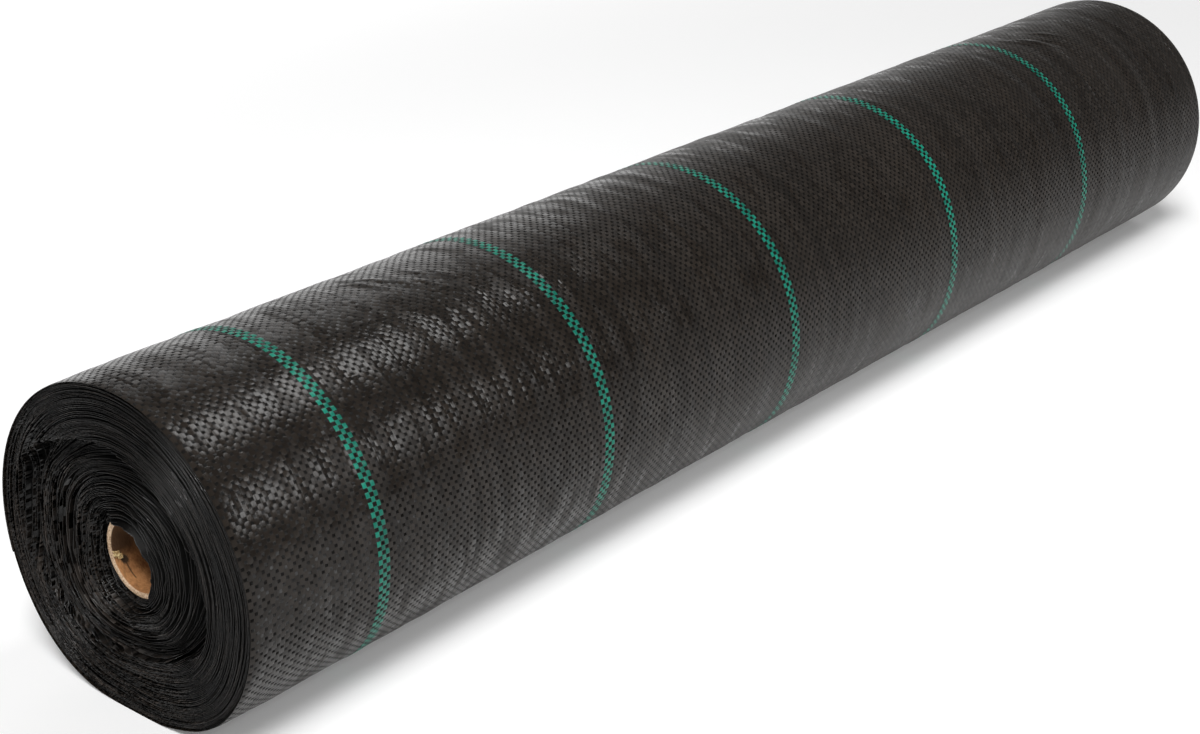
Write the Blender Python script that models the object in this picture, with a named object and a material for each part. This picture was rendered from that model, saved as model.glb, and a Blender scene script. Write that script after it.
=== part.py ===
# Roll of woven weed control sheet on a cardboard core, lying on its side, in metres.
# The roll lies along X with its photographed end at -X, and stands on Z = 0.
# The sheet winds from the core over the top towards +Y. Its free end (the tail) lies on the back and
# peels off as a chain of flat panels, each hinged along X at its upper edge.
# Each modelled turn stands for about twelve real ones. The last turn thins down to the tail.

from math import cos, degrees, pi, radians, sin, tau

import bmesh
import bpy
from mathutils import Vector

# The sheet and the roll it makes
SHEET_WIDTH = 1.0
ROLL_RADIUS = 0.0932  # to the tail's free edge
FLAT_DEPTH = 0.0085  # the underside is pressed flat by the roll's own weight
TURNS = 24
POINTS_PER_TURN = 24
TURN_GAP = 0.00074
FREE_EDGE_ANGLE = radians(105)  # angles go from the top towards the back

# The tail
TAIL_PANELS = 5
TAIL_THICKNESS = 0.0012
HINGE_GAP = 0.0003

# The dished ends: depths at radii given as shares of ROLL_RADIUS, the outer band being flush
DISH_DEPTH = 0.008
DISH_RADIUS_SHARES = (0.0, 0.26, 0.31, 0.45, 0.77, 0.80, 1.0)
DISH_DEPTH_SHARES = (1.0, 1.0, 0.4, 0.32, 0.3, 0.0, 0.0)

# The green marker stripes, with their places along the roll from the -X end
STRIPE_WIDTH = 0.007
STRIPE_THICKNESS = 0.0005
STRIPE_PLACE_SHARES = (0.083, 0.258, 0.435, 0.622, 0.809)

# The cardboard core and the strip of tape under the first turn
CORE_RADIUS = 0.022
CORE_WALL = 0.003
CORE_RECESS = 0.009
CORE_FACETS = 48
TAPE_THICKNESS = 0.0005
TAPE_ARC = radians(60)
TAPE_END_MARGIN = 0.02

# Clearance between pieces that rest on one another
SEAT = 0.0003

# Worked out from the sizes above
TURN_STEP = tau / POINTS_PER_TURN
LAST_STEP = TURNS * POINTS_PER_TURN
TAIL_START_STEP = LAST_STEP - TAIL_PANELS
LAST_TURN_STEP = LAST_STEP - POINTS_PER_TURN
TAPE_INNER_RADIUS = CORE_RADIUS + SEAT
TAPE_OUTER_RADIUS = TAPE_INNER_RADIUS + TAPE_THICKNESS
FIRST_INNER_RADIUS = (TAPE_OUTER_RADIUS + SEAT) / cos(TURN_STEP / 2)
PITCH = (ROLL_RADIUS - TAIL_THICKNESS - FIRST_INNER_RADIUS) / TURNS
TURN_THICKNESS = PITCH - TURN_GAP
GROOVE_DEPTH = STRIPE_THICKNESS + SEAT
GROOVE_WIDTH = STRIPE_WIDTH + 2 * SEAT

SMOOTH_ANGLE = radians(30)
BLACK = (0.012, 0.0095, 0.0078)
GREEN = (0.005, 0.14, 0.095)
CARDBOARD = (0.32, 0.17, 0.08)
PAPER_TAPE = (0.60, 0.50, 0.30)


def step_angle(step):
    return FREE_EDGE_ANGLE - (LAST_STEP - step) * TURN_STEP


def blend(low, high, share):
    return low + (high - low) * share


def turn_thickness(step):
    """The winding's thickness, which falls to the tail's own over the last turn."""
    taper = (step - LAST_TURN_STEP) / (TAIL_START_STEP - LAST_TURN_STEP)
    return blend(TURN_THICKNESS, TAIL_THICKNESS, min(max(taper, 0), 1))


def outer_radius(step):
    if step <= LAST_TURN_STEP:
        return FIRST_INNER_RADIUS + TURN_THICKNESS + PITCH * step / POINTS_PER_TURN
    return outer_radius(step - POINTS_PER_TURN) + TURN_GAP + turn_thickness(step)


def inner_radius(step):
    return outer_radius(step) - turn_thickness(step)


def groove_radius(step):
    return outer_radius(step) - GROOVE_DEPTH


def stripe_inner_radius(step):
    return outer_radius(step) - STRIPE_THICKNESS


def pressed_depth(radius):
    """How far the underside of a turn of this radius is pressed up: nothing at the core, most outside."""
    return FLAT_DEPTH * (radius - FIRST_INNER_RADIUS) / (ROLL_RADIUS - FIRST_INNER_RADIUS)


def winding_point(step, radius_at):
    """(y, z) about the core's axis of a surface of the winding, flat along the underside."""
    angle = step_angle(step)
    from_bottom = (angle % tau) - pi
    bottom_radius = radius_at(step - round(from_bottom / TURN_STEP))
    height = -radius_at(step) * cos(from_bottom)
    lowest = pressed_depth(bottom_radius) - bottom_radius
    return Vector((radius_at(step) * sin(angle), max(height, lowest)))


def dish_depth(radius):
    share = radius / ROLL_RADIUS
    for index in range(1, len(DISH_RADIUS_SHARES)):
        if share <= DISH_RADIUS_SHARES[index]:
            break
    low, high = DISH_RADIUS_SHARES[index - 1], DISH_RADIUS_SHARES[index]
    within = min((share - low) / (high - low), 1)
    return DISH_DEPTH * blend(DISH_DEPTH_SHARES[index - 1], DISH_DEPTH_SHARES[index], within)


def half_width(step):
    return SHEET_WIDTH / 2 - dish_depth(outer_radius(step))


def winding_station(step, grooved):
    """One cut across the sheet: its outer and inner surface, its groove floor and its half width."""
    return {
        "outer": winding_point(step, outer_radius),
        "inner": winding_point(step, inner_radius),
        "floor": winding_point(step, groove_radius) if grooved else None,
        "half_width": half_width(step),
    }


def shifted(station, move):
    """The same cut, moved along the sheet."""
    moved = dict(station)
    for surface in ("outer", "inner", "floor"):
        if moved[surface] is not None:
            moved[surface] = moved[surface] + move
    return moved


def stripe_places():
    return [SHEET_WIDTH * (share - 1 / 2) for share in STRIPE_PLACE_SHARES]


def add_point(mesh, x, point):
    return mesh.verts.new((x, point.x, point.y))


def outer_line(mesh, station):
    """Points from the -X edge to the +X edge, down into each groove and up again.

    Each groove is four points, in order, after the first point of the line.
    """
    line = [add_point(mesh, -station["half_width"], station["outer"])]
    for middle in stripe_places() if station["floor"] is not None else []:
        left, right = middle - GROOVE_WIDTH / 2, middle + GROOVE_WIDTH / 2
        line.append(add_point(mesh, left, station["outer"]))
        line.append(add_point(mesh, left, station["floor"]))
        line.append(add_point(mesh, right, station["floor"]))
        line.append(add_point(mesh, right, station["outer"]))
    line.append(add_point(mesh, station["half_width"], station["outer"]))
    return line


def join_same_lines(mesh, before, after):
    for index in range(len(before) - 1):
        mesh.faces.new((before[index], before[index + 1], after[index + 1], after[index]))


def open_grooves(mesh, before, after):
    """Joins a plain line to the first grooved one, with an end wall for each groove."""
    tops = [point for index, point in enumerate(after) if index % 4 in (0, 1)]
    mesh.faces.new([before[0], before[1]] + tops[::-1])
    for index in range(1, len(after) - 1, 4):
        mesh.faces.new(after[index : index + 4])


def sheet_mesh(name, stations):
    """A closed strip through the stations. Once it has grooves, they run to its end."""
    mesh = bmesh.new()
    outers = [outer_line(mesh, station) for station in stations]
    inners = []
    for station in stations:
        ends = (-station["half_width"], station["half_width"])
        inners.append([add_point(mesh, x, station["inner"]) for x in ends])
    mesh.faces.new(outers[0] + inners[0][::-1])
    mesh.faces.new(inners[-1] + outers[-1][::-1])
    for index in range(1, len(stations)):
        before, after = outers[index - 1], outers[index]
        low, high = inners[index - 1], inners[index]
        if len(before) == len(after):
            join_same_lines(mesh, before, after)
        else:
            open_grooves(mesh, before, after)
        mesh.faces.new((low[1], low[0], high[0], high[1]))
        mesh.faces.new((before[-1], low[1], high[1], after[-1]))
        mesh.faces.new((low[0], before[0], after[0], high[0]))
    bmesh.ops.recalc_face_normals(mesh, faces=mesh.faces)
    return finished_mesh(name, mesh)


def finished_mesh(name, mesh):
    data = bpy.data.meshes.new(name)
    mesh.to_mesh(data)
    mesh.free()
    data.shade_smooth()
    data.set_sharp_from_angle(angle=SMOOTH_ANGLE)
    return data


def material(name, colour, roughness):
    made = bpy.data.materials.new(name)
    made.use_nodes = True
    shader = made.node_tree.nodes["Principled BSDF"]
    shader.inputs["Base Color"].default_value = (*colour, 1)
    shader.inputs["Roughness"].default_value = roughness
    shader.inputs["Metallic"].default_value = 0
    return made


def place(name, data, finish, parent, location=(0, 0, 0)):
    """Adds the object at a location in its parent's frame."""
    data.materials.append(finish)
    made = bpy.data.objects.new(name, data)
    bpy.context.scene.collection.objects.link(made)
    made.parent = parent
    made.location = location
    return made


def roll_axis():
    """An empty on the core's axis, placed so that the part stands on Z = 0 with its box centred."""
    outline = [winding_point(step, outer_radius) for step in range(LAST_TURN_STEP, LAST_STEP + 1)]
    across = [point.x for point in outline]
    made = bpy.data.objects.new("roll_axis", None)
    bpy.context.scene.collection.objects.link(made)
    made.location = (0, -(min(across) + max(across)) / 2, -min(point.y for point in outline))
    return made


def add_core_tube(parent):
    mesh = bmesh.new()
    half_length = SHEET_WIDTH / 2 - CORE_RECESS
    radii = (CORE_RADIUS, CORE_RADIUS, CORE_RADIUS - CORE_WALL, CORE_RADIUS - CORE_WALL)
    ends = (-half_length, half_length, half_length, -half_length)
    profile = [mesh.verts.new((x, 0, radius)) for x, radius in zip(ends, radii)]
    sides = [mesh.edges.new((profile[index - 1], profile[index])) for index in range(len(profile))]
    bmesh.ops.spin(
        mesh,
        geom=profile + sides,
        cent=(0, 0, 0),
        axis=(1, 0, 0),
        angle=tau,
        steps=CORE_FACETS,
        use_merge=True,
    )
    bmesh.ops.recalc_face_normals(mesh, faces=mesh.faces)
    place("core_tube", finished_mesh("core_tube", mesh), material("cardboard", CARDBOARD, 0.9), parent)


def add_start_tape(parent):
    """A strip along the core, under the sheet's first edge."""
    core_step = tau / CORE_FACETS
    stations = []
    for index in range(round(TAPE_ARC / core_step) + 1):
        angle = step_angle(0) + index * core_step
        across = Vector((sin(angle), cos(angle)))
        stations.append(
            {
                "outer": across * TAPE_OUTER_RADIUS,
                "inner": across * TAPE_INNER_RADIUS,
                "floor": None,
                "half_width": SHEET_WIDTH / 2 - CORE_RECESS - TAPE_END_MARGIN,
            }
        )
    place("start_tape", sheet_mesh("start_tape", stations), material("paper_tape", PAPER_TAPE, 0.5), parent)


def along_sheet(step):
    """Half the hinge gap, along the flat that ends at this step."""
    flat = winding_point(step, outer_radius) - winding_point(step - 1, outer_radius)
    return flat.normalized() * HINGE_GAP / 2


def add_wound_sheet(parent, finish):
    stations = []
    for step in range(TAIL_START_STEP + 1):
        stations.append(winding_station(step, step >= LAST_TURN_STEP))
    stations[-1] = shifted(stations[-1], -along_sheet(TAIL_START_STEP))
    place("wound_sheet", sheet_mesh("wound_sheet", stations), finish, parent)


def stripe_mesh(name, stations):
    """A band of the stripe's own thickness, flush with the outer surface of the sheet."""
    mesh = bmesh.new()
    rings = []
    for outer, inner in stations:
        ring = [add_point(mesh, x, outer) for x in (-STRIPE_WIDTH / 2, STRIPE_WIDTH / 2)]
        ring += [add_point(mesh, x, inner) for x in (STRIPE_WIDTH / 2, -STRIPE_WIDTH / 2)]
        rings.append(ring)
    mesh.faces.new(rings[0])
    mesh.faces.new(rings[-1][::-1])
    for before, after in zip(rings, rings[1:]):
        join_same_lines(mesh, before + before[:1], after + after[:1])
    bmesh.ops.recalc_face_normals(mesh, faces=mesh.faces)
    return finished_mesh(name, mesh)


def stripe_station(step, move=Vector((0, 0))):
    outer = winding_point(step, outer_radius) + move
    return outer, winding_point(step, stripe_inner_radius) + move


def add_marker_stripes(parent, finish):
    """One green stripe round the last turn for each place, lying in its groove."""
    steps = range(LAST_TURN_STEP + 1, TAIL_START_STEP)
    first = stripe_station(LAST_TURN_STEP, along_sheet(LAST_TURN_STEP + 1) * 2)
    last = stripe_station(TAIL_START_STEP, -along_sheet(TAIL_START_STEP))
    stations = [first] + [stripe_station(step) for step in steps] + [last]
    for number, along in enumerate(stripe_places(), 1):
        name = f"marker_stripe_{number}"
        place(name, stripe_mesh(name, stations), finish, parent, (along, 0, 0))


def add_tail(parent, sheet_finish, stripe_finish):
    """Flat panels from the top of the back downwards, each hung from the one before it."""
    hinge_before = Vector((0, 0))
    for number in range(1, TAIL_PANELS + 1):
        start = TAIL_START_STEP + number - 1
        hinge = winding_point(start, outer_radius)
        inset = along_sheet(start + 1)
        moves = (inset - hinge, -inset - hinge)
        name = f"tail_panel_{number}"
        stations = [shifted(winding_station(start + index, True), moves[index]) for index in (0, 1)]
        panel = place(
            name, sheet_mesh(name, stations), sheet_finish, parent, (0, *(hinge - hinge_before))
        )
        stripes = [stripe_station(start + index, moves[index]) for index in (0, 1)]
        for stripe, along in enumerate(stripe_places(), 1):
            stripe_name = f"{name}_stripe_{stripe}"
            place(stripe_name, stripe_mesh(stripe_name, stripes), stripe_finish, panel, (along, 0, 0))
        parent, hinge_before = panel, hinge


def distance_to_flat(point, start, end):
    along = end - start
    share = min(max((point - start).dot(along) / along.length_squared, 0), 1)
    return (point - start - along * share).length


def least_turn_gap():
    """The least distance between a turn and the one inside it, measured on the corners of both."""
    least = ROLL_RADIUS
    for step in range(POINTS_PER_TURN + 1, LAST_STEP):
        inside = step - POINTS_PER_TURN
        for shift in (-1, 0):
            inner_flat = [winding_point(step + shift + end, inner_radius) for end in (0, 1)]
            outer_flat = [winding_point(inside + shift + end, outer_radius) for end in (0, 1)]
            least = min(least, distance_to_flat(winding_point(inside, outer_radius), *inner_flat))
            least = min(least, distance_to_flat(winding_point(step, inner_radius), *outer_flat))
    return least


def main():
    for old in list(bpy.data.objects):
        bpy.data.objects.remove(old)
    sheet_finish = material("black_weave", BLACK, 0.45)
    stripe_finish = material("green_weave", GREEN, 0.5)
    axis = roll_axis()
    add_core_tube(axis)
    add_start_tape(axis)
    add_wound_sheet(axis, sheet_finish)
    add_marker_stripes(axis, stripe_finish)
    add_tail(axis, sheet_finish, stripe_finish)
    print("least gap between turns:", least_turn_gap())
    print("hinges lean by", degrees(TURN_STEP), "degrees each when the tail is straight")


main()
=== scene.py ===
# Looks of the roll of woven weed control sheet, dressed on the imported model, in metres.
# The roll lies along X with its photographed end at -X. Angles go from the top towards the back (+Y).
# The sheet is one spiral: its wound edges at both ends, the outer wrap, and the tail that peels off.

from math import pi, radians, tau

import bmesh
import bpy
import numpy as np
from mathutils import Euler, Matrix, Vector


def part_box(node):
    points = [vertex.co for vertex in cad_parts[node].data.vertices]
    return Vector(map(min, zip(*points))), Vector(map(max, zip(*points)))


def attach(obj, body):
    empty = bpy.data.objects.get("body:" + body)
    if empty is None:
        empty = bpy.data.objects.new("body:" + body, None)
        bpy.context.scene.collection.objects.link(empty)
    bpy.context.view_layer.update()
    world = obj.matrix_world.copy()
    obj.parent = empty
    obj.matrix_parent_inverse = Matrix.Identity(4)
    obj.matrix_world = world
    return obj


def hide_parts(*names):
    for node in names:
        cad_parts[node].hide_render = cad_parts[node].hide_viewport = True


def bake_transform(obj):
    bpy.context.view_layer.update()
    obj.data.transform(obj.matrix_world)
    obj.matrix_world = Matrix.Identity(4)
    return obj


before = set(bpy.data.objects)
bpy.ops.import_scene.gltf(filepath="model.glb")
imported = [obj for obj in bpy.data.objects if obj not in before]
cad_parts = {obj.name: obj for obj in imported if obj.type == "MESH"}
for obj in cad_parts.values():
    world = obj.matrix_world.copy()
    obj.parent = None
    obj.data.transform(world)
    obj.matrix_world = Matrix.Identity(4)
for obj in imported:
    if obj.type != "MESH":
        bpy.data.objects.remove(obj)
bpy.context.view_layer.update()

# Places read from the model
CORE_LOW, CORE_HIGH = (Vector(corner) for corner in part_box("core_tube"))
AXIS_Y = (CORE_LOW.y + CORE_HIGH.y) / 2
AXIS_Z = (CORE_LOW.z + CORE_HIGH.z) / 2
CORE_RADIUS = (CORE_HIGH.z - CORE_LOW.z) / 2
CORE_HALF_LENGTH = CORE_HIGH.x
CORE_WALL = 0.003
HALF_WIDTH = 0.5

# The spiral of the sheet grows by PITCH each turn, from INNERMOST to END_RADIUS where the tail ends. The
# tail's pieces reach from mid-panel to mid-panel, so all but the last span one hinge each.
TAIL_END = radians(105)
TAIL_START = radians(22.5)
PANEL = radians(15)
PANELS = 5
UNDER_TAIL_END = radians(-345)
END_RADIUS = 0.0924
PITCH = 0.0007
INNERMOST = 0.0232
SHEET_THICKNESS = 0.0003
LAST_TURN_CLEARANCE = 0.00006
BOTTOM_RADIUS = END_RADIUS - PITCH * (TAIL_END + pi) / tau
FLOOR_CLEARANCE = 0.0002
PRESS_DEPTH = BOTTOM_RADIUS - (AXIS_Z - FLOOR_CLEARANCE)
PRESS_SOFTNESS = 0.0006

# The loose edges reach this far in from each end, and the closed bulk fills the rest
EDGE_DEPTH = 0.016

# The weave: the widths of its tapes, the radius at which crosswise ones are counted, how far the green
# ones stand out, and each stripe's middle tape
TAPES_ACROSS = 388
TAPE = 2 * HALF_WIDTH / TAPES_ACROSS
CROSS_TAPE = 0.00253
ARC_RADIUS = 0.0922
TAPE_RISE = 0.00011
GREEN_TAPE_SHARE = 0.97
GREEN_CROWN = 0.00003
STRIPE_TAPES = (32, 99, 168, 241, 313)

# How far a lengthwise tape reaches over its neighbours' cells, sideways and onwards, in cells
OVERHANG, OVERLENGTH = 0.14, 0.18

# The angle towards the front where the wrap mirrors the darkest part of the room
DARKEST_FRONT = radians(43)

# How many ribs a tape has, and the last part of a float, which ends half a cell from its middle
RIBS = 14
FLOAT_END = (0.42, 0.5)

# Where the weave gets crisp and where its near rim is, in tapes from the near end, and where the front's
# lower part begins, in tapes from the top
CRISP_TAPES = (190.0, 50.0)
NEAR_RIM_TAPES = (20.0, 8.0)
LOW_TAPES = (-29.0, -35.0)

# The strips' coordinate at each point round their profile, and the one that is their rim
RIM_PLACE = 6.1
STRIP_PLACES = (0.0, 3.0, 5.7, 6.0, RIM_PLACE, 6.2, 6.5, 9.2, 12.2, 12.3)

# For the noise that shapes the meshes: its seed and the size of its lattice
SEED = 7
LATTICE = 64


# Shapes of one number or of arrays


def smooth(share):
    share = np.clip(share, 0, 1)
    return share * share * (3 - 2 * share)


def hill(value, middle, half_width):
    return smooth(1 - np.abs(value - middle) / half_width)


def value_noise(across, along, seed, period=LATTICE):
    """Smooth noise from -1 to 1 on a unit lattice that repeats every period cells along."""
    table = np.random.default_rng(SEED + seed).uniform(-1, 1, (LATTICE, period))
    row, column = np.floor(across).astype(int), np.floor(along).astype(int)
    u, v = (share**3 * (share * (share * 6 - 15) + 10) for share in (across - row, along - column))

    def between(line):
        return table[line, column % period] * (1 - v) + table[line, (column + 1) % period] * v

    return between(row % LATTICE) * (1 - u) + between((row + 1) % LATTICE) * u


def turn_noise(across, angle, cells, seed):
    """Noise that closes on itself once round the roll."""
    return value_noise(across, (angle / tau % 1.0) * cells, seed, cells)


def round_table(degrees, values, spread=5):
    """A smooth function of the angle towards the front, in degrees from the top, through a table."""
    wheel = np.interp(np.arange(360), degrees, values, period=360)
    offsets = np.arange(-3 * spread, 3 * spread + 1)
    weights = np.exp(-((offsets / spread) ** 2) / 2)
    wheel = sum(weight * np.roll(wheel, offset) for weight, offset in zip(weights / weights.sum(), offsets))
    return lambda angle: np.interp(front_degrees(angle), np.arange(360), wheel, period=360)


def layered_noise(across, angle, layers, first_seed=0):
    """The sum of layers of (wavelength across, waves round, seed, height)."""
    return sum(
        turn_noise(across / wavelength, angle, cells, first_seed + seed) * height
        for wavelength, cells, seed, height in layers
    )


def front_degrees(angle):
    """The angle towards the front, in degrees from the top."""
    return np.degrees(-angle) % 360


# The roll's shape

# Place along in metres, angle and tilt in degrees, length, width and height in millimetres
CREASES = (
    (-0.334, 5, -62, 16, 1.8, 0.6),
    (-0.327, -2, -64, 20, 1.8, 0.7),
    (-0.320, 1, -60, 24, 2.0, 0.9),
    (-0.311, -6, -62, 18, 1.8, 0.8),
    (-0.303, -9, -57, 20, 1.8, 0.9),
    (-0.296, -4, -64, 18, 1.8, 0.6),
    (-0.288, -8, -60, 14, 1.8, 0.5),
    (-0.224, -83, 84, 7, 1.6, -0.9),
    (0.335, -6, -50, 22, 2.2, 0.8),
    (0.347, -10, -48, 24, 2.2, 1.0),
    (0.360, -14, -52, 22, 2.4, -0.6),
    (0.372, -8, -46, 20, 2.2, 0.7),
    (-0.12, 2, -70, 30, 3.0, 0.4),
    (0.13, -8, -66, 34, 3.0, 0.4),
)

# The wrap's slack: wavelength along in millimetres, waves round, seed and height in millimetres
SLACK = ((13, 4, 1, 0.26), (6, 7, 2, 0.1), (90, 4, 3, 0.4))
EDGE_ROUNDING, EDGE_ROUNDING_LENGTH = 0.35, 3

# How far the pressed underside gives way at its corners, in millimetres, and more so at the near rim
SAG = round_table(
    (120, 133, 147, 160, 173, 193, 206, 216, 226, 240),
    (0, 0.1, 1.2, 5.2, 7, 6.5, 3.5, 1.4, 0.2, 0),
    3,
)
NEAR_SAG = round_table((120, 135, 147, 160, 172), (0, 0.5, 1.8, 1.0, 0), 3)
NEAR_SAG_LENGTH = 0.03

# How far the lengthwise tapes wander along the roll, in millimetres, in its near and its far half
NEAR_DRIFT = round_table((0, 37, 60, 98, 119, 134, 170, 230, 350), (0, 0, 1, 2.5, 5, 7, 5, 2, 0))
FAR_DRIFT = round_table(
    (340, 352, 8, 28, 49, 74, 103, 123, 134, 170, 250),
    (8, 6, 4, 2, 0, -3, -1, 4, 8, 6, 6),
)
DRIFT_WAVES = ((140, 5, 4, 1.2),)
FAR_DRIFT_START, FAR_DRIFT_BLEND = -0.1, 0.35
STEADY_END = 0.07

# How far the crosswise tapes bow towards the near end, and back again beyond it
BOW, BOW_LENGTH = 0.024, 0.3
BOW_BACK, BOW_BACK_START, BOW_BACK_LENGTH = 0.004, 0.33, 0.15


def creases(across, angle):
    """The height of the short folds."""
    total = np.zeros(np.broadcast(across, angle).shape)
    for place, middle, tilt, length, width, height in CREASES:
        along = (across - place) * 1000
        turned = (angle - radians(middle) + pi) % tau - pi
        round_it = turned * ARC_RADIUS * 1000
        run = along * np.cos(radians(tilt)) + round_it * np.sin(radians(tilt))
        side = round_it * np.cos(radians(tilt)) - along * np.sin(radians(tilt))
        total = total + height * np.exp(-((run / length) ** 2) * 3 - (side / width) ** 2)
    return total


def relief(across, angle):
    """How far the wrap stands out: slack rings round the roll, swells along it and a few creases."""
    millimetres = across * 1000
    slack = layered_noise(millimetres, angle, SLACK)
    rounding = EDGE_ROUNDING * smooth(1 - (HALF_WIDTH - np.abs(across)) * 1000 / EDGE_ROUNDING_LENGTH)
    return (slack + creases(across, angle) - rounding) / 1000


def pressed(radius, across, angle):
    """The radius where the roll's weight has pressed its underside flat, with a soft bend at each side.

    The least cosine and the clip only keep the arithmetic in range.
    """
    share = (radius - INNERMOST) / (BOTTOM_RADIUS - INNERMOST)
    near = smooth(1 - (across + HALF_WIDTH) / NEAR_SAG_LENGTH)
    sagged = radius - (SAG(angle) + NEAR_SAG(angle) * near) / 1000 * share
    limit = (radius - PRESS_DEPTH * share) / np.maximum(-np.cos(angle), 0.05)
    softness = PRESS_SOFTNESS * radius / END_RADIUS
    return sagged - softness * np.log1p(np.exp(np.clip((sagged - limit) / softness, -40, 40)))


def spiral_radius(angle):
    return END_RADIUS - PITCH * (TAIL_END - angle) / tau


def layer_radius(radius, across, angle):
    """The radius of a layer of the roll once its relief and its weight have shaped it.

    The relief fades towards the inner turns and where the roll lies on the floor.
    """
    outer_share = smooth((radius / END_RADIUS - 0.6) / 0.4)
    off_floor = 1 - smooth((-np.cos(angle) - 0.72) / 0.2)
    return pressed(radius + relief(across, angle) * outer_share * off_floor, across, angle)


def at(x, radius, angle):
    x, radius, angle = np.broadcast_arrays(x, radius, angle)
    return np.stack([x, AXIS_Y + radius * np.sin(angle), AXIS_Z + radius * np.cos(angle)], -1)


def drift(across, angle):
    """How far the lengthwise tapes wander along the roll, less so near its ends."""
    edge = smooth((HALF_WIDTH - np.abs(across)) / STEADY_END)
    far = smooth((across - FAR_DRIFT_START) / FAR_DRIFT_BLEND)
    wander = layered_noise(across * 1000, angle, DRIFT_WAVES)
    return edge * (NEAR_DRIFT(angle) * (1 - far) + FAR_DRIFT(angle) * far + wander) / 1000


def sheet_point(across, angle, lift=0.0):
    """(x, y, z) on the outer wrap or the tail. across is the place in the flat sheet, from -0.5 to 0.5."""
    radius = layer_radius(spiral_radius(angle), across, angle) + lift
    return at(across + drift(across, angle), radius, angle)


def wrap_lift(angle):
    return np.full_like(angle, LAST_TURN_CLEARANCE)


def tail_lift(angle):
    """The last part of the tail stands a little off the roll."""
    return 0.0004 * smooth((angle - radians(55)) / radians(50)) + LAST_TURN_CLEARANCE


# Meshes


def unit_uv(shape):
    """Coordinates from 0 to 1 over a grid of that many rows and columns."""
    down, across = np.meshgrid(np.linspace(0, 1, shape[0]), np.linspace(0, 1, shape[1]), indexing="ij")
    return np.stack([across, down], -1)


def grid_object(name, grids, finish, weld=False):
    """One mesh through grids of (points, weave coordinates), each rows by columns."""
    points, faces, weave, unit = [], [], [], []
    start = 0
    for number, (grid, uv) in enumerate(grids):
        rows, columns = grid.shape[:2]
        index = np.arange(rows * columns).reshape(rows, columns)
        corners = [index[:-1, :-1], index[:-1, 1:], index[1:, 1:], index[1:, :-1]]
        quads = np.stack(corners, -1).reshape(-1, 4)
        tile = unit_uv(grid.shape)
        tile[..., 0] = (tile[..., 0] * 0.98 + number) / len(grids)
        points.append(grid.reshape(-1, 3))
        weave.append(np.broadcast_to(uv, (rows, columns, 2)).reshape(-1, 2)[quads.ravel()])
        unit.append(tile.reshape(-1, 2)[quads.ravel()])
        faces.append(quads + start)
        start += rows * columns
    mesh = bpy.data.meshes.new(name)
    mesh.from_pydata(np.concatenate(points), [], np.concatenate(faces).tolist())
    for layer_name, layer in (("weave", weave), ("OFBake", unit)):
        made = mesh.uv_layers.new(name=layer_name)
        made.data.foreach_set("uv", np.concatenate(layer).astype(np.float32).ravel())
    mesh.shade_smooth()
    mesh.materials.append(finish)
    if weld:
        welded = bmesh.new()
        welded.from_mesh(mesh)
        bmesh.ops.remove_doubles(welded, verts=welded.verts, dist=1e-6)
        welded.to_mesh(mesh)
        welded.free()
    made = bpy.data.objects.new(name, mesh)
    bpy.context.scene.collection.objects.link(made)
    return made


def crosswise_tapes(across, angle):
    """How many crosswise tapes there are up to a place. They bow near the near end."""
    share = across + HALF_WIDTH
    bow = BOW * smooth(share / BOW_LENGTH) - BOW_BACK * smooth((share - BOW_BACK_START) / BOW_BACK_LENGTH)
    return (angle * ARC_RADIUS + bow) / CROSS_TAPE


def weave_uv(across, angle):
    """Places in the weave, counted in lengthwise and crosswise tapes."""
    across, angle = np.broadcast_arrays(across, angle)
    return np.stack([(across + HALF_WIDTH) / TAPE, crosswise_tapes(across, angle)], -1)


def steps(start, end, size):
    """Evenly spaced values from start to end, about that size apart."""
    return np.linspace(start, end, max(2, round(abs(end - start) / size) + 1))


# Materials


class Knob:
    """A number that a material works out, with the usual arithmetic."""

    def __init__(self, tree, socket):
        self.tree = tree
        self.socket = socket

    def math(self, operation, *others):
        node = self.tree.nodes.new("ShaderNodeMath")
        node.operation = operation
        for slot, value in zip(node.inputs, (self, *others)):
            plug(self.tree, value, slot)
        return Knob(self.tree, node.outputs[0])

    def __add__(self, other):
        return self.math("ADD", other)

    def __sub__(self, other):
        return self.math("SUBTRACT", other)

    def __mul__(self, other):
        return self.math("MULTIPLY", other)

    def __truediv__(self, other):
        return self.math("DIVIDE", other)

    def ramp(self, low, high):
        """0 at low, 1 at high, smooth between."""
        node = self.tree.nodes.new("ShaderNodeMapRange")
        node.interpolation_type = "SMOOTHSTEP"
        for slot, value in zip(node.inputs, (self, low, high, 0.0, 1.0)):
            plug(self.tree, value, slot)
        return Knob(self.tree, node.outputs[0])

    __radd__ = __add__
    __rmul__ = __mul__


def plug(tree, value, slot):
    if isinstance(value, Knob):
        tree.links.new(value.socket, slot)
    else:
        slot.default_value = value


def new_material(name, roughness, specular=0.5):
    made = bpy.data.materials.new(name)
    made.use_nodes = True
    shader = made.node_tree.nodes["Principled BSDF"]
    shader.inputs["Roughness"].default_value = roughness
    shader.inputs["Specular IOR Level"].default_value = specular
    return made, made.node_tree, shader


def paint(tree, shader, colour):
    plug(tree, colour, shader.inputs["Base Color"])


def vector(tree, x, y, z=0.0):
    node = tree.nodes.new("ShaderNodeCombineXYZ")
    for slot, value in zip(node.inputs, (x, y, z)):
        plug(tree, value, slot)
    return Knob(tree, node.outputs[0])


def parts_of(tree, whole):
    """The three numbers of a vector or a colour."""
    node = tree.nodes.new("ShaderNodeSeparateXYZ")
    plug(tree, whole, node.inputs[0])
    return [Knob(tree, output) for output in node.outputs]


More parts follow.
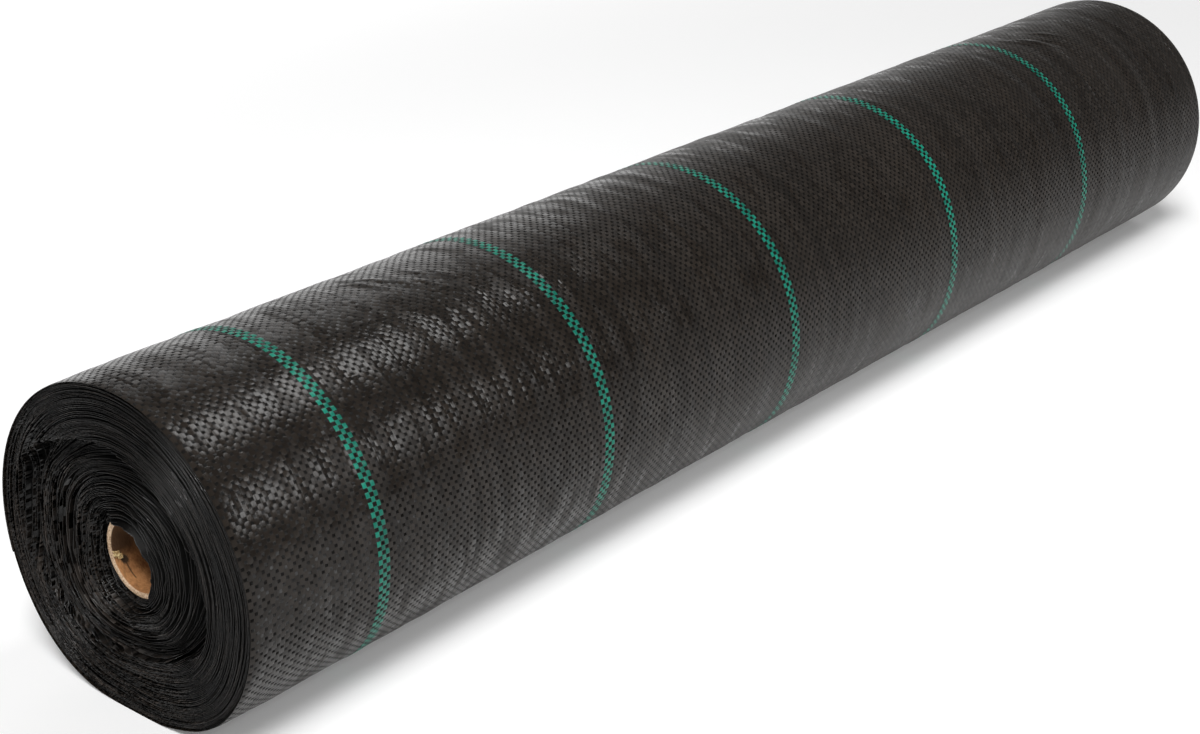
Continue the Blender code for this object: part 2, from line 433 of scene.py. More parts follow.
def noise(tree, place, scale, detail=2.0, roughness=0.5):
    node = tree.nodes.new("ShaderNodeTexNoise")
    plug(tree, place, node.inputs["Vector"])
    node.inputs["Scale"].default_value = scale
    node.inputs["Detail"].default_value = detail
    node.inputs["Roughness"].default_value = roughness
    return Knob(tree, node.outputs["Fac"])


def random(tree, *place):
    """Three numbers from 0 to 1 for each whole-numbered place."""
    node = tree.nodes.new("ShaderNodeTexWhiteNoise")
    node.noise_dimensions = "3D"
    plug(tree, vector(tree, *place), node.inputs["Vector"])
    return parts_of(tree, Knob(tree, node.outputs["Color"]))


def mixed(tree, share, first, second):
    """A colour between two, each a socket's knob or three numbers."""
    node = tree.nodes.new("ShaderNodeMix")
    node.data_type = "RGBA"
    plug(tree, share, node.inputs["Factor"])
    for name, colour in (("A", first), ("B", second)):
        slot = [item for item in node.inputs if item.name == name and item.type == "RGBA"][0]
        plug(tree, colour if isinstance(colour, Knob) else (*colour, 1.0), slot)
    return Knob(tree, [item for item in node.outputs if item.type == "RGBA"][0])


def uv_place(tree):
    node = tree.nodes.new("ShaderNodeUVMap")
    node.uv_map = "weave"
    return parts_of(tree, Knob(tree, node.outputs[0]))[:2]


def object_place(tree, kind="Object"):
    node = tree.nodes.new("ShaderNodeTexCoord")
    return Knob(tree, node.outputs[kind])


def from_axis(tree, place):
    """x, and how far back and how far up from the roll's axis."""
    x, y, z = parts_of(tree, place)
    return x, y - AXIS_Y, z - AXIS_Z


def tilt(tree, shader, slope_u, slope_v):
    """Leans the surface by its slopes across and along the lengthwise tapes."""
    normal = tree.nodes.new("ShaderNodeNormalMap")
    normal.uv_map = "weave"
    plug(tree, vector(tree, slope_u * 0.5 + 0.5, slope_v * 0.5 + 0.5, 1.0), normal.inputs["Color"])
    tree.links.new(normal.outputs[0], shader.inputs["Normal"])


def top_tape(u, v, overhang, overlength):
    """The cell on top at a place: its two numbers, the place from its middle, and 1 for a crosswise tape.

    The lengthwise tapes are the wider ones, so they hide the rims of the crosswise ones.
    """
    i, j = u.math("FLOOR"), v.math("FLOOR")
    across, along = u - i - 0.5, v - j - 0.5
    weft_cell = (i + j).math("FLOORED_MODULO", 2.0).math("GREATER_THAN", 0.5)
    beside = weft_cell * across.math("ABSOLUTE").math("GREATER_THAN", 0.5 - overhang)
    beyond = (weft_cell - beside) * along.math("ABSOLUTE").math("GREATER_THAN", 0.5 - overlength)
    sideways, onwards = across.math("SIGN") * beside, along.math("SIGN") * beyond
    weft_over = weft_cell - beside - beyond
    return i + sideways, j + onwards, across - sideways, along - onwards, weft_over


def sunk_tilt(tree, crisp, chance):
    """How the sunk crosswise floats lean, so that they see mostly the dark of the room, high at the front."""
    back, up = from_axis(tree, object_place(tree))[1:]
    front = (back * -1.0).math("ARCTAN2", up)
    lean = ((front - DARKEST_FRONT) * 1.15).math("MINIMUM", 1.0).math("MAXIMUM", -0.5)
    below = front.ramp(radians(75), radians(110))
    return lean * (crisp * 0.45 + 0.5 - below * 0.3) * (chance * 0.6 + 0.7)


def weave_finish(name, dark, pale, roughness, tape_only=False):
    """Plain weave of flat tapes. Each float is flat, dips at its ends, leans its own way and has fine ribs.

    The crosswise floats lie sunk between the lengthwise ones and duller, and painted shade darkens their
    colour and each float's dipping end. Streaks round the roll are shinier, most of all towards the near end.
    A tape_only finish is for lengthwise tapes that are real geometry.
    """
    made, tree, shader = new_material(name, roughness, 0.16)
    u, v = uv_place(tree)
    overhang, overlength = (0.0, 0.0) if tape_only else (OVERHANG, OVERLENGTH)
    i, j, across, along, weft_over = top_tape(u, v, overhang, overlength)
    warp_over = weft_over * -1.0 + 1.0
    crossing = random(tree, i, j)
    warp_tape, weft_tape = random(tree, i, 0.5), random(tree, 0.5, j)
    ribs_u = random(tree, (u * RIBS).math("FLOOR"), 3.5)
    cloud = noise(tree, vector(tree, u * 0.09, v * 0.025), 1.0, 3.0)
    if tape_only:
        slope_u = (ribs_u[0] - 0.5) * 0.2 + across * 0.25 + (crossing[0] - 0.5) * 0.12
        slope_v = (crossing[1] - 0.5) * 0.1
        ends = across.math("ABSOLUTE") * 0.8
        painted_dip_shade = ends.ramp(*FLOAT_END) * 0.8
        dull = 0.0
    else:
        wide, long = 0.5 / (0.5 + overhang), 0.5 / (0.5 + overlength)
        crisp = u.ramp(*CRISP_TAPES)
        stretch = random(tree, i, (v / 9 + crossing[0] * 0.3).math("FLOOR"))
        run = random(tree, (u / 14 + crossing[1] * 0.3).math("FLOOR"), j, 5.0)
        ribs_v = random(tree, 7.5, (v * RIBS).math("FLOOR"))
        streak = noise(tree, vector(tree, u * 0.3, v * 0.08), 1.0, 2.0)
        lean = (warp_tape[0] - 0.5) * 0.06 + (stretch[0] - 0.5) * (crisp * 0.08 + 0.06)
        lean = lean + (streak - 0.5) * crisp * 0.3
        warp_u = (ribs_u[0] - 0.5) * 0.1 + across * 0.1 + (across * wide).math("POWER", 5.0) * 0.4 + lean
        warp_v = along * 0.06 + (along * long).math("POWER", 7.0) * 12.0
        weft_u = across.math("POWER", 3.0) * 2.0
        weft_v = (ribs_v[0] - 0.5) * 0.1 + along * 0.12 + (weft_tape[0] - 0.5) * 0.1 + (run[0] - 0.5) * 0.1
        weft_v = weft_v + sunk_tilt(tree, crisp, crossing[2])
        jitter = crisp * 0.05 + 0.03
        slope_u = warp_over * warp_u + weft_over * weft_u + (crossing[0] - 0.5) * jitter
        slope_v = warp_over * warp_v + weft_over * weft_v + (crossing[1] - 0.5) * jitter
        ends = warp_over * (along * long).math("ABSOLUTE") * 0.94
        # Painted shade: the sunk crosswise floats and the floats' dipping ends
        painted_dip_shade = (ends.ramp(*FLOAT_END) * 0.8).math("MAXIMUM", weft_over * 0.9)
        shiny = streak + crisp * 0.23 + u.ramp(*NEAR_RIM_TAPES) * 0.22 - v.ramp(*LOW_TAPES) * 0.1
        dull = warp_over * shiny.ramp(0.7, 0.5) * 0.24 + weft_over * 0.12
    tilt(tree, shader, slope_u, slope_v)
    tone = cloud * 0.5 + crossing[2] * 0.35
    tone = tone + warp_over * warp_tape[1] * 0.25 + weft_over * weft_tape[1] * 0.25
    colour = mixed(tree, tone.ramp(0.1, 1.1), dark, pale)
    # The colour is darkened as painted shade where the floats sink and dip
    paint(tree, shader, mixed(tree, painted_dip_shade, colour, tuple(part * 0.15 for part in dark)))
    rough = (crossing[0] - 0.5) * 0.08 + (cloud - 0.5) * 0.12 + dull + roughness
    plug(tree, rough + ends.ramp(0.44, 0.5) * 0.4, shader.inputs["Roughness"])
    return made


def edge_finish():
    """The sheet's cut edges: black dashes, the ends of the crosswise tapes, that each lean their own way.

    Painted shade darkens the strips' sides away from their rims, and all of it more the deeper it lies in the
    end.
    """
    made, tree, shader = new_material("cut_edge_black", 0.4, 0.3)
    u, v = uv_place(tree)
    place = object_place(tree)
    x, back, up = from_axis(tree, place)
    radius = (back * back + up * up).math("SQRT")
    rings = noise(tree, vector(tree, radius * 780, back / radius * 2.2, up / radius * 2.2), 1.0, 2.0)
    painted_recess_shade = x.math("ABSOLUTE").ramp(HALF_WIDTH - 0.001, HALF_WIDTH - 0.009)
    at_rim = (u - RIM_PLACE).math("ABSOLUTE").ramp(0.35, 0.12)
    dash = random(tree, (v * 3).math("FLOOR"), 0.5)
    stretch = random(tree, (v / 7).math("FLOOR"), 4.5)
    cloud = noise(tree, place, 60.0, 3.0)
    tone = (dash[0] * 0.5 + stretch[0] * 0.6 + cloud * 0.3).ramp(0.35, 1.25)
    # Painted shade: the deeper an edge lies in the end, the darker its colour
    tone = tone * (rings.ramp(0.36, 0.62) * 0.8 + 0.2) * (painted_recess_shade * -0.5 + 1.0)
    # Painted shade: the strips' sides away from the rims are painted near black, as the gaps between turns
    colour = mixed(tree, tone * (at_rim * 0.9 + 0.1), (0.0006, 0.0005, 0.0004), (0.05, 0.041, 0.035))
    paint(tree, shader, colour)
    rough = (dash[1] * 0.35 - 0.36) * at_rim + cloud * 0.08 + painted_recess_shade * 0.15 + 0.42
    plug(tree, rough, shader.inputs["Roughness"])
    # Some tape ends are bent over, to one side or the other
    bias = dash[2] * 0.5 + stretch[2] * 0.5
    bent = bias.math("GREATER_THAN", 0.72) - bias.math("LESS_THAN", 0.28)
    slope_u = ((stretch[1] - 0.5) * 0.4 + (dash[1] - 0.5) * 0.5 + bent * 1.5) * at_rim
    tilt(tree, shader, slope_u, (dash[2] - 0.5) * 0.4 * at_rim)
    return made


# On the bore's wall by its near mouth: painted shade, a darker band that stands in for the shadow there, and
# a round mark with a crack through it that runs on.
# Their places are along the roll, and round it in degrees towards the back.
PAINTED_SHADE_DEGREES, CRACK_DEGREES = 80, 135
PAINTED_SHADE_END = (-0.47, -0.48)
MARK_PLACE, MARK_DEGREES, MARK_RADIUS = -0.4852, 119, 0.0026
SEAM_PITCH = 0.062


def round_mark(u, v, wobble):
    """1 inside the mark, with a soft uneven border."""
    along = (u - MARK_PLACE) / MARK_RADIUS
    round_it = (v - MARK_DEGREES / 360) * (tau * (CORE_RADIUS - CORE_WALL) / MARK_RADIUS)
    return ((along * along + round_it * round_it).math("SQRT") + wobble).ramp(1.4, 0.9)


def cardboard_finish():
    """Spirally wound paper: pale and mottled at the cut rim, darker in the bore, with a seam, marks and
    painted shade by the near mouth.
    """
    made, tree, shader = new_material("cardboard_paper", 0.85, 0.25)
    u, v = uv_place(tree)
    place = object_place(tree)
    fibres = noise(tree, vector(tree, u * 900, v * 60), 1.0, 4.0, 0.6)
    cloud = noise(tree, place, 70.0, 3.0)
    mottle = noise(tree, place, 900.0, 3.0, 0.7)
    tone = (fibres * 0.5 + cloud * 0.9 - 0.2).ramp(0.2, 0.8)
    colour = mixed(tree, tone, (0.11, 0.043, 0.013), (0.44, 0.21, 0.082))
    seam = (u / SEAM_PITCH + v).math("FLOORED_MODULO", 1.0).math("SUBTRACT", 0.5).math("ABSOLUTE")
    colour = mixed(tree, seam.ramp(0.02, 0.0) * 0.5, colour, (0.16, 0.08, 0.03))
    # Painted shade: the wall is darkened in a band round the back, by the near mouth
    mouth_painted_shade = (v - PAINTED_SHADE_DEGREES / 360).math("ABSOLUTE").ramp(0.115, 0.05) * u.ramp(*PAINTED_SHADE_END)
    colour = mixed(tree, mouth_painted_shade * 0.9, colour, (0.035, 0.017, 0.007))
    colour = mixed(tree, round_mark(u, v, mottle * 0.6) * 0.95, colour, (0.02, 0.012, 0.006))
    crack = (u - MARK_PLACE + (fibres - 0.5) * 0.0008).math("ABSOLUTE").ramp(0.0006, 0.0002)
    crack = crack * (v - CRACK_DEGREES / 360).math("ABSOLUTE").ramp(0.06, 0.04)
    colour = mixed(tree, crack * 0.8, colour, (0.03, 0.015, 0.006))
    rim = u.math("ABSOLUTE").ramp(CORE_HALF_LENGTH - 0.0007, CORE_HALF_LENGTH - 0.0002)
    cut = (mottle * 0.8 + cloud * 0.4).ramp(0.42, 0.72)
    paper = mixed(tree, cut, (0.20, 0.12, 0.065), (0.60, 0.44, 0.30))
    paint(tree, shader, mixed(tree, rim * 0.95, colour, paper))
    raised = tree.nodes.new("ShaderNodeBump")
    raised.inputs["Strength"].default_value = 0.6
    raised.inputs["Distance"].default_value = 0.0003
    plug(tree, fibres + seam.ramp(0.0, 0.03) * 0.6, raised.inputs["Height"])
    tree.links.new(raised.outputs[0], shader.inputs["Normal"])
    return made


def torn_finish():
    made, tree, shader = new_material("torn_paper", 0.9, 0.2)
    mottle = noise(tree, object_place(tree), 800.0, 4.0, 0.7)
    paint(tree, shader, mixed(tree, mottle.ramp(0.35, 0.65), (0.22, 0.13, 0.05), (0.66, 0.52, 0.27)))
    return made


# The outer wrap, with its green stripes

# Stretches of the wrap's mesh with the size of their steps, finer at the creases and where the photograph
# shows the wrap
ACROSS_STRETCHES = (
    (-HALF_WIDTH, -0.34, 0.0022),
    (-0.34, -0.285, 0.0013),
    (-0.285, 0.325, 0.0024),
    (0.325, 0.385, 0.0014),
    (0.385, HALF_WIDTH, 0.0024),
)
ROUND_STRETCHES = (
    (UNDER_TAIL_END, radians(-150), radians(2.4)),
    (radians(-150), radians(-35), radians(1.9)),
    (radians(-35), TAIL_START, radians(1.3)),
)


def graded_steps(stretches):
    parts = [steps(*stretch) for stretch in stretches]
    return np.concatenate([part[:-1] for part in parts[:-1]] + parts[-1:])


def stripe_grids(number, start, end, lift, thickness):
    """The stripe's three lengthwise tapes, each rising over every second crosswise tape."""
    angles = steps(start, end, CROSS_TAPE / ARC_RADIUS / 6)[:, None]
    grids = []
    for tape in range(STRIPE_TAPES[number] - 1, STRIPE_TAPES[number] + 2):
        across = -HALF_WIDTH + (tape + 0.5 + np.array([[-0.5, 0.0, 0.5]]) * GREEN_TAPE_SHARE) * TAPE
        wave = np.tanh(np.cos(pi * (crosswise_tapes(across, angles) - 0.5)) * (-1) ** tape * 2.2)
        crown = np.array([[0.0, GREEN_CROWN, 0.0]])
        rise = wave * (TAPE_RISE + thickness / 2) + crown * wave - thickness / 2 + TAPE_RISE * 0.3
        grids.append((sheet_point(across, angles, lift(angles) + rise), weave_uv(across, angles)))
    return grids


def add_wrap(black, green):
    across, angles = graded_steps(ACROSS_STRETCHES)[None, :], graded_steps(ROUND_STRETCHES)[:, None]
    grid = sheet_point(across, angles, wrap_lift(angles))
    wrap = grid_object("outer_wrap", [(grid, weave_uv(across, angles))], black)
    for number in range(len(STRIPE_TAPES)):
        grids = stripe_grids(number, UNDER_TAIL_END, TAIL_START, wrap_lift, 0.0)
        made = grid_object(f"green_stripe_{number + 1}", grids, green)
        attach(made, "roll")
        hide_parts(f"marker_stripe_{number + 1}")
    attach(wrap, "roll")
    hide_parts("wound_sheet")


# The tail


def slab(start, end, closed=False):
    """Both sides and both edges of a stretch of the tail, as one loop of points at each angle."""
    across = steps(-HALF_WIDTH, HALF_WIDTH, 0.0026)
    angles = steps(start, end, radians(1.9))
    loop = np.concatenate([across, across[::-1], across[:1]])[None, :]
    below = np.concatenate([np.zeros_like(across), np.full_like(across, SHEET_THICKNESS), [0.0]])[None, :]
    rows = np.concatenate([angles[:1], angles, angles[-1:]])[:, None] if closed else angles[:, None]
    lift = tail_lift(rows) - below
    if closed:
        lift[[0, -1]] = tail_lift(rows[[0, -1]]) - SHEET_THICKNESS / 2
    uv = weave_uv(loop, rows)
    # Where one tape is on top, the other is on the underside
    uv[..., 1] += np.where(below > 0, 1.0, 0.0)
    return sheet_point(loop, rows, lift), uv


def add_tail(black, green):
    for number in range(PANELS + 1):
        start = TAIL_START + number * PANEL
        last = number == PANELS
        end = TAIL_END if last else start + PANEL
        piece = grid_object(f"tail_{number + 1}_weave", [slab(start, end, last)], black, weld=True)
        grids = []
        for stripe in range(len(STRIPE_TAPES)):
            grids += stripe_grids(stripe, start, end, tail_lift, SHEET_THICKNESS)
        stripes = grid_object(f"tail_{number + 1}_green", grids, green)
        for made, slot in ((piece, "black_weave"), (stripes, "green_weave")):
            if last:
                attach(made, f"tail_{PANELS}")
            else:
                ends = (tuple(sheet_point(0.0, angle).tolist()) for angle in (start, end))
                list(ends)
                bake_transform(made)
        if number < PANELS:
            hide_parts(f"tail_panel_{number + 1}")
            hidden = [f"tail_panel_{number + 1}_stripe_{n + 1}" for n in range(len(STRIPE_TAPES))]
            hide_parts(*hidden)


# The wound ends


def level(value):
    """A function of the angle, like a round_table, with the same value all round."""
    return lambda angle: value


# The flush band's inner edge, as a share of the radius, and the step down behind it, in millimetres
BAND_EDGE = round_table(
    (0, 30, 60, 90, 106, 125, 146, 180, 215, 240, 260, 290, 304, 315, 326, 337, 350),
    (0.64, 0.585, 0.58, 0.63, 0.67, 0.66, 0.6, 0.6, 0.66, 0.8, 0.9, 0.905, 0.84, 0.79, 0.715, 0.69, 0.66),
    3,
)
STEP_DEPTH = round_table(
    (0, 60, 90, 120, 150, 180, 215, 240, 265, 290, 315, 340),
    (6.5, 9.5, 10.5, 9.0, 6.5, 4.0, 2.0, 3.0, 7.0, 9.0, 8.5, 7.0),
)
STEP_WIDTH = round_table((0, 190, 225, 250, 295, 310, 340), (1.2, 1.2, 3, 7, 7, 3, 1.2))
FAR_BAND_EDGE = round_table((0, 70, 140, 200, 270, 330), (0.72, 0.78, 0.7, 0.66, 0.74, 0.8))
FAR_STEP_DEPTH = round_table((0, 90, 180, 270), (3.0, 4.0, 3.2, 4.4))

# At the core's mouth the inner turns lean over it at the front and leave a funnel elsewhere, in millimetres
MOUTH_DEPTH = round_table(
    (0, 20, 45, 80, 110, 130, 150, 180, 270, 305, 318, 330, 345),
    (0.0, -0.5, -1.5, -1.5, -0.8, 1.5, 5.0, 8.5, 9.5, 9.0, 6.0, 1.5, 0.0),
)
MOUTH_WIDTH = round_table((0, 60, 120, 173, 207, 240, 266, 299, 330), (5, 4, 4, 5.5, 8, 10, 12, 11, 7))
LEAN = round_table(
    (3, 12, 45, 64, 80, 102, 122, 138, 155, 180, 310, 325, 336, 350),
    (3.4, 3.0, 4.7, 3.9, 2.8, 2.8, 3.4, 3.2, 1.8, 0, 0, 2.4, 4.6, 4.4),
)
LEANING_WIDTH = 0.007

# Each end's band edge, step's depth and width, and core mouth's width and depth
NEAR_END = (BAND_EDGE, STEP_DEPTH, STEP_WIDTH, MOUTH_WIDTH, MOUTH_DEPTH)
FAR_END = (FAR_BAND_EDGE, FAR_STEP_DEPTH, level(2), level(8.0), level(8.5))
FLUSH_DEPTH = 0.3

# Waves of the loose winding: wavelength across in millimetres, waves round, seed and height in millimetres
WANDER = ((9, 7, 0, 1.1), (2.2, 17, 1, 0.2), (16, 11, 2, 0.9))

# Open gaps: middle and half spread in degrees towards the front, radius and width in millimetres
GAPS = ((125, 42, 56.0, 2.0), (345, 38, 60.0, 1.4), (275, 30, 80.0, 1.6))

# The strips' rounded rim, and the least length of a strip whose edge lies deep
RIM_DROP = 0.00014
LEAST_STRIP = 0.0015


def edge_depth(radius, angle, near):
    """How deep a turn's edge lies, in millimetres: in a flush band, past a step and at the core's mouth."""
    shapes = NEAR_END if near else FAR_END
    band_edge, step_depth, step_width, mouth_width, mouth_depth = (shape(angle) for shape in shapes)
    inside = (band_edge - radius / END_RADIUS) * END_RADIUS * 1000
    valley = step_depth * (smooth(inside / step_width) - 0.8 * smooth((inside - 4) / 13))
    at_core = smooth(1 - (radius - INNERMOST) * 1000 / mouth_width)
    return (FLUSH_DEPTH + valley) * (1 - at_core) + mouth_depth * at_core


def loosened(radius, angle, near):
    """A layer's radius once the winding's slack has let it wander, with a few open gaps at the near end.

    The core and the outer wrap hold the layers next to them.
    """
    millimetres = radius * 1000
    inner = smooth((millimetres - 23.5) / 8)
    free = inner * smooth((91 - millimetres) / 7)
    waves = layered_noise(millimetres, angle, WANDER, 10 if near else 20)
    gaps = 0.0
    for middle, spread, place, width in GAPS:
        turned = (front_degrees(angle) - middle + 180) % 360 - 180
        opening = hill(turned, 0, spread) * smooth((place - millimetres) / 0.5)
        gaps = gaps - width * opening * smooth((millimetres - place + 16) / 14)
    return radius + (free * waves + gaps * near * inner) / 1000


def unevenness(raw, angle, near):
    """How much further in single turns and bundles of turns lie, in millimetres.

    The flush band is tighter, and so are the turns low at the back.
    """
    turn = (raw - INNERMOST) / PITCH
    long_way = angle * raw * 1000
    seed = 31 if near else 41
    loose = 0.45 + 0.55 * smooth((BAND_EDGE(angle) - raw / END_RADIUS) / 0.03)
    loose = loose * (1 - 0.45 * hill(front_degrees(angle), 235, 50))
    bundles = np.abs(turn_noise(turn / 2.6, angle, 5, seed)) * 1.8
    cracks = smooth((turn_noise(turn / 1.2, angle, 4, seed + 1) - 0.3) / 0.3) * 2.2
    single = np.abs(turn_noise(turn / 0.55, angle, 9, seed + 3)) * 2.4
    ragged = np.abs(value_noise(long_way / 40, long_way * 0, seed + 2)) * 0.5
    ends = np.random.default_rng(SEED + len(raw)).uniform(0, 0.25, angle.shape)
    return (bundles + cracks + ragged + single) * loose + ends


def strip(start, end, segments, near):
    """A closed thin strip along the spiral: outer side, rounded rim and inner side."""
    count = round((end - start) / tau * segments)
    angle = np.linspace(start, end, count + 1)
    raw = spiral_radius(angle)
    outer = loosened(raw, angle, near)
    below = loosened(raw - PITCH, angle, near)
    thickness = np.minimum((outer - below) * 0.5, SHEET_THICKNESS)
    depth = edge_depth(raw, angle, near) + unevenness(raw, angle, near)
    depth = np.minimum(depth / 1000, EDGE_DEPTH - LEAST_STRIP)
    lean = LEAN(angle) / 1000 * smooth(1 - (raw - INNERMOST) / LEANING_WIDTH) * near
    side = -1 if near else 1
    bend = depth + (EDGE_DEPTH - depth) * 0.55
    profile = []
    # Shares of the thickness, insets from the roll's end, and shares of the lean over the core
    for inward, inset, leaning in (
        (0.0, EDGE_DEPTH, 0.0),
        (0.0, bend, 0.0),
        (0.0, depth + RIM_DROP * 4, 1.0),
        (0.0, depth + RIM_DROP, 1.0),
        (0.5, depth, 1.0),
        (1.0, depth + RIM_DROP, 1.0),
        (1.0, depth + RIM_DROP * 4, 1.0),
        (1.0, bend, 0.0),
        (1.0, EDGE_DEPTH, 0.0),
        (0.0, EDGE_DEPTH, 0.0),
    ):
        x = np.broadcast_to(side * (HALF_WIDTH - inset), angle.shape)
        radius = layer_radius(outer - thickness * inward, x, angle) - lean * leaning
        profile.append(at(x, radius, angle))
    if near:
        profile = profile[::-1]
    points = np.stack(profile, 1)
    uv = np.stack(np.broadcast_arrays(np.array([STRIP_PLACES]), (angle * raw / TAPE)[:, None]), -1)
    length = float(np.sum(raw[1:] + raw[:-1]) / 2 * (angle[1] - angle[0]))
    return points, uv, length


def add_wound_ends(finish):
    # From one radius to the next, with the mesh's segments a turn. The last one ends where the tail starts.
    zones = ((INNERMOST, 0.046, 120), (0.046, 0.070, 180), (0.070, None, 230))
    for end_name, near in (("near", True), ("far", False)):
        for number, (low, high, segments) in enumerate(zones, 1):
            start = TAIL_END - (END_RADIUS - low) / PITCH * tau
            end = TAIL_START if high is None else TAIL_END - (END_RADIUS - high) / PITCH * tau
            points, uv, length = strip(start, end, segments, near)
            made = grid_object(f"{end_name}_wound_edges_{number}", [(points, uv)], finish, weld=True)
            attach(made, "roll")
            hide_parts("wound_sheet")


def add_wound_body(finish):
    """The closed bulk of the inner turns, just inside the outer wrap and behind the loose edges."""
    angles = steps(-pi, pi, radians(3))[:, None]
    outer, inner = BOTTOM_RADIUS - 0.002, INNERMOST
    end = HALF_WIDTH - EDGE_DEPTH + 0.001
    xs = np.concatenate([steps(-end, end, 0.01), [end, -end, -end]])[None, :]
    radii = np.concatenate([np.full(xs.shape[1] - 3, outer), [inner, inner, outer]])[None, :]
    shaped = layer_radius(np.broadcast_to(radii, (len(angles), xs.shape[1])), xs, angles)
    radius = shaped - np.where(radii > inner, SHEET_THICKNESS, 0)
    made = grid_object("wound_body", [(at(xs, radius, angles), weave_uv(xs, angles))], finish, weld=True)
    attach(made, "roll")


# The core

# Scraps of the inner ply: place along, degrees towards the back, size, and how far they curl into the bore
SCRAPS = ((-0.4890, 106, 0.0019, 0.0010), (-0.4876, 112, 0.0014, 0.0013))

# How soft the tube's rims are, how ragged in small and in large, and how oval the tube is
RIM_SOFTNESS = 0.0004
FINE_RAGGED, COARSE_RAGGED = 0.00012, 0.0002
OVAL = 0.00015


def add_core(finish):
    """The tube, a little oval, with soft and ragged rims."""
    angles = steps(-pi, pi, radians(2.5))[:, None]
    end, outer, inner, soft = CORE_HALF_LENGTH, CORE_RADIUS, CORE_RADIUS - CORE_WALL, RIM_SOFTNESS
    # Along the outside and round the far rim, back through the bore, and round the near rim
    inside = steps(end - soft, -end + soft, 0.02)
    xs = np.concatenate([[-end + soft, end - soft, end, end], inside, [-end, -end, -end + soft]])[None, :]
    outside, near_rim = [outer, outer, outer - soft, inner + soft], [inner + soft, outer - soft, outer]
    radii = np.concatenate([outside, np.full(inside.shape, inner), near_rim])[None, :]
    fine, coarse = turn_noise(radii * 900, angles, 40, 41), turn_noise(radii * 0, angles, 9, 42)
    ragged = np.abs(fine * FINE_RAGGED + coarse * COARSE_RAGGED) * (np.abs(xs) > end - soft / 2)
    radius = radii + OVAL * np.cos(2 * angles)
    x, turn = np.broadcast_arrays(xs - np.sign(xs) * ragged, angles / tau)
    uv = np.stack([x, turn], -1)
    made = grid_object("core_tube_paper", [(at(x, radius, angles), uv)], finish, weld=True)
    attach(made, "roll")
    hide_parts("core_tube")


def add_torn_paper(finish):
    """Two scraps of the core's inner ply, torn loose by its near rim and curled into the bore."""
    for number, (place, degrees, size, lift) in enumerate(SCRAPS, 1):
        along, turned = np.meshgrid(np.linspace(-1, 1, 9), np.linspace(-1, 1, 9))
        torn = 1 + value_noise(along * 2.3 + 9, turned * 2.3 + 9, 50 + number) * 0.35
        x = place + along * torn * size * 0.7
        angle = radians(degrees) + turned * torn * size / CORE_RADIUS
        crumple = np.abs(value_noise(along * 3, turned * 3, 60 + number)) * 0.0004
        radius = CORE_RADIUS - CORE_WALL - 0.0001 - ((0.5 + 0.5 * along) ** 2 * lift + crumple)
        outside, inside = at(x, radius, angle), at(x, radius - 0.0003, angle)
        rows = np.concatenate([outside, inside[:, ::-1], outside[:, :1]], 1)
        flat_end = [(rows[row] + rows[row, ::-1])[None] / 2 for row in (0, -1)]
        points = np.concatenate([flat_end[0], rows, flat_end[1]], 0)
        made = grid_object(f"torn_paper_{number}", [(points, np.zeros((1, 1, 2)))], finish, weld=True)
        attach(made, "roll")
        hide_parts("core_tube")


def dress_start_tape():
    made, tree, shader = new_material("kraft_tape", 0.5)
    fibres = noise(tree, object_place(tree), 300.0, 4.0)
    paint(tree, shader, mixed(tree, fibres, (0.42, 0.30, 0.16), (0.64, 0.50, 0.30)))
    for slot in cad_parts["start_tape"].material_slots:
        slot.material = made


# Floor, light and camera

FLOOR_HALF_SIZE = 20.0


def seen_directly(tree):
    """1 for the camera and for what shiny or clear surfaces show, 0 for the light on the object."""
    path = tree.nodes.new("ShaderNodeLightPath")
    seen = Knob(tree, path.outputs["Is Camera Ray"])
    for name in ("Is Glossy Ray", "Is Transmission Ray"):
        seen = seen.math("MAXIMUM", Knob(tree, path.outputs[name]))
    return seen


def add_world():
    """A dim room: pale walls low all round but for the front right, and a tall window at the back right.

    The window is a little dimmer past the roll's far end.
    """
    world = bpy.data.worlds.new("studio")
    bpy.context.scene.world = world
    world.use_nodes = True
    tree = world.node_tree
    background = tree.nodes["Background"]
    background.inputs["Color"].default_value = (1, 1, 1, 1)
    x, y, z = parts_of(tree, object_place(tree, "Generated"))
    front_right = x.ramp(0.1, 0.5) * y.ramp(0.1, -0.3)
    low_walls = z.ramp(0.34, 0.12) * (front_right * -1.0 + 1.0)
    window = y.ramp(0.25, 0.68) * x.ramp(0.35, 0.65)
    past_far_end = x.ramp(0.79, 0.87) * y.ramp(0.2, 0.3) * 0.3
    strength = low_walls.math("MAXIMUM", window) * (past_far_end * -1.0 + 1.0) * 1.15 + 0.12
    plug(tree, strength, background.inputs["Strength"])


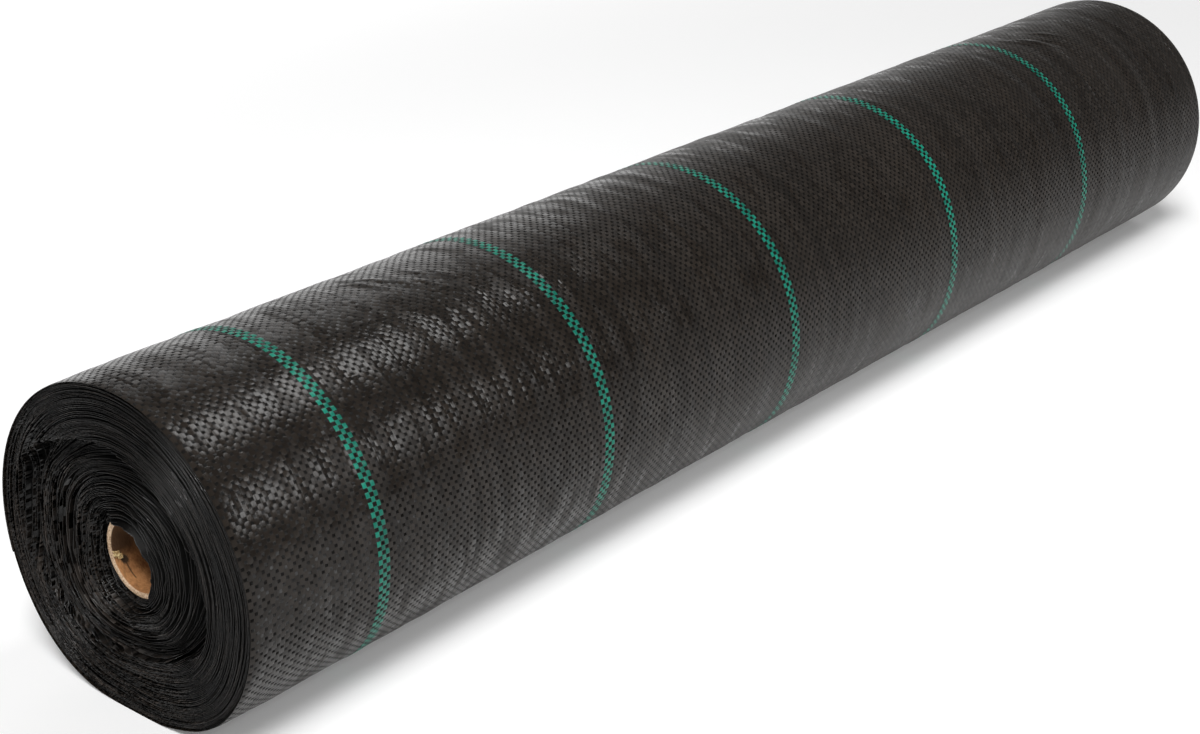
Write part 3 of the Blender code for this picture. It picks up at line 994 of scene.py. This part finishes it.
def add_floor():
    """A pale floor that keeps the roll's shadow, and that the camera sees brighter further away."""
    made, tree, shader = new_material("pale_floor", 0.9, 0.2)
    shader.inputs["Base Color"].default_value = (0.88, 0.88, 0.88, 1)
    glow = tree.nodes.new("ShaderNodeEmission")
    x, y = parts_of(tree, object_place(tree))[:2]
    away = (x * x * 0.3 + y * y).ramp(0.05, 2.4)
    plug(tree, seen_directly(tree) * (away * 0.46 + 0.12), glow.inputs["Strength"])
    both = tree.nodes.new("ShaderNodeAddShader")
    tree.links.new(shader.outputs[0], both.inputs[0])
    tree.links.new(glow.outputs[0], both.inputs[1])
    tree.links.new(both.outputs[0], tree.nodes["Material Output"].inputs["Surface"])
    mesh = bpy.data.meshes.new("floor")
    corners = ((-1, -1), (1, -1), (1, 1), (-1, 1))
    mesh.from_pydata([(FLOOR_HALF_SIZE * x, FLOOR_HALF_SIZE * y, 0) for x, y in corners], [], [(0, 1, 2, 3)])
    mesh.materials.append(made)
    floor = bpy.data.objects.new("floor", mesh)
    bpy.context.scene.collection.objects.link(floor)


def add_lamp(name, place, target, size, power):
    """A rectangular lamp at a place, aimed at a target, that the camera doesn't see."""
    lamp = bpy.data.lights.new(name, "AREA")
    lamp.shape = "RECTANGLE"
    lamp.size, lamp.size_y = size
    lamp.energy = power
    made = bpy.data.objects.new(name, lamp)
    bpy.context.scene.collection.objects.link(made)
    made.location = place
    made.rotation_euler = (Vector(target) - Vector(place)).to_track_quat("-Z", "Y").to_euler()
    made.visible_camera = False


def add_camera():
    """The view that was fitted to the photograph's outline."""
    camera = bpy.data.cameras.new("camera")
    camera.lens = 62.4
    camera.sensor_width = 36.0
    made = bpy.data.objects.new("camera", camera)
    bpy.context.scene.collection.objects.link(made)
    made.location = (-1.034, AXIS_Y - 0.7355, AXIS_Z + 0.478)
    made.rotation_euler = Euler((radians(66.88), 0, radians(-50.62)))
    bpy.context.scene.camera = made


def main():
    black = weave_finish("black_woven_tapes", (0.007, 0.0055, 0.0044), (0.022, 0.0175, 0.014), 0.2)
    green = weave_finish("green_tapes", (0.001, 0.06, 0.042), (0.007, 0.2, 0.135), 0.35, tape_only=True)
    edges = edge_finish()
    add_core(cardboard_finish())
    add_torn_paper(torn_finish())
    dress_start_tape()
    add_wound_body(edges)
    add_wrap(black, green)
    add_tail(black, green)
    add_wound_ends(edges)
    add_world()
    add_floor()
    add_lamp("key_softbox", (-3.6, -2.6, 6.6), (0, 0, 0.1), (3, 3), 560)
    add_lamp("upper_strip", (0.17, -0.1, 1.02), (-0.4, -0.04, 0.16), (0.34, 0.24), 3.3)
    add_lamp("front_strip", (0.13, -0.8, 0.6), (-0.42, -0.08, 0.13), (0.24, 0.3), 2.8)
    add_camera()
    bpy.context.scene.view_settings.view_transform = "Standard"


main()
bpy.context.view_layer.update()
